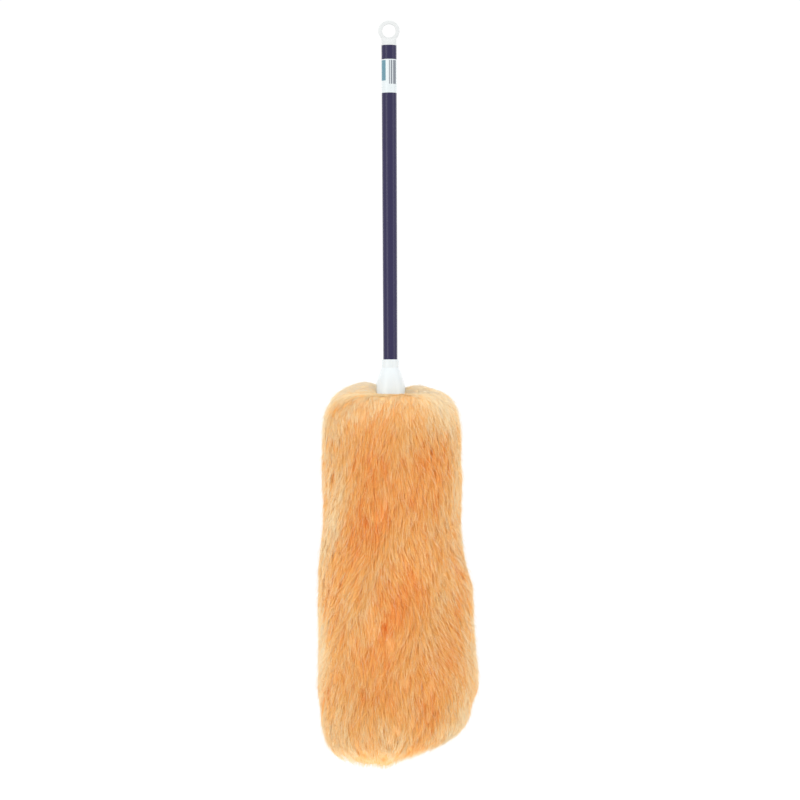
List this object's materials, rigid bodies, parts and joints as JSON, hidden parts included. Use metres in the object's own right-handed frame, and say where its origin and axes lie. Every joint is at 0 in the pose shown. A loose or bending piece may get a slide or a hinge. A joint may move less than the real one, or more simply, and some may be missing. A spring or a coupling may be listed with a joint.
{
  "type": "lambswool duster",
  "caption": "Fluffy dyed lambswool duster on a slim extending twist-lock handle, with a bell-shaped ferrule and a ring to hang it by.",
  "frame": {"origin": "centre of the hang hole in the ring at the handle's top end", "axes": "+Z along the handle, up from the wool to the ring; +Y along the hang hole's axis; the wool's fuller side is towards +X"},
  "size_m": [0.1924, 0.1922, 0.8887],
  "materials": {
    "cap_plastic": "satin moulded, off-white",
    "tube_plastic": "smooth extruded, dark plum-navy",
    "label_paper": "coated, white with plain printed bars",
    "bush_plastic": "moulded, natural white",
    "lock_plastic": "moulded, natural",
    "plated_steel": "zinc plated",
    "rod_metal": "drawn, satin anodised",
    "ferrule_plastic": "moulded, white",
    "core_plastic": "extruded, natural",
    "hide": "raw sheepskin, dyed with the wool",
    "wool": "long lambswool, dyed orange with paler tips"
  },
  "bodies": {
    "grip": {"hang_cap": "cap_plastic", "grip_tube": "tube_plastic", "product_label": "label_paper", "mouth_bush": "bush_plastic"},
    "lock_sleeve": {"expander_sleeve": "lock_plastic"},
    "lock_cone": {"expander_cone": "lock_plastic"},
    "head": {"stop_nut": "plated_steel", "lock_stud": "plated_steel", "rod_plug": "lock_plastic", "inner_rod": "rod_metal", "ferrule": "ferrule_plastic", "core_rivet": "plated_steel", "core_tube": "core_plastic", "core_end_plug": "core_plastic", "sheepskin_strip": "hide", "strip_staples_upper": "plated_steel", "strip_staples_lower": "plated_steel", "end_patch": "hide", "end_patch_tack": "plated_steel", "wool_pile": "wool", "wool_end_tuft": "wool"}
  },
  "joints": [
    {"name": "extend", "type": "slide", "parent": "grip", "child": "lock_sleeve", "axis": [0, 0, -1], "range_m": [0, 0.33]},
    {"name": "twist_lock", "type": "hinge", "parent": "lock_sleeve", "child": "head", "pos_m": [0, 0, -0.048], "axis": [0, 0, -1], "range_deg": [0, 180]},
    {"name": "lock_cone_travel", "type": "slide", "parent": "lock_sleeve", "child": "lock_cone", "axis": [0, 0, 1], "range_m": [0, 0.0008]}
  ],
  "couplings": [
    {"joint": "lock_cone_travel", "follows": "twist_lock", "m_per_rad": 0.00023873}
  ]
}
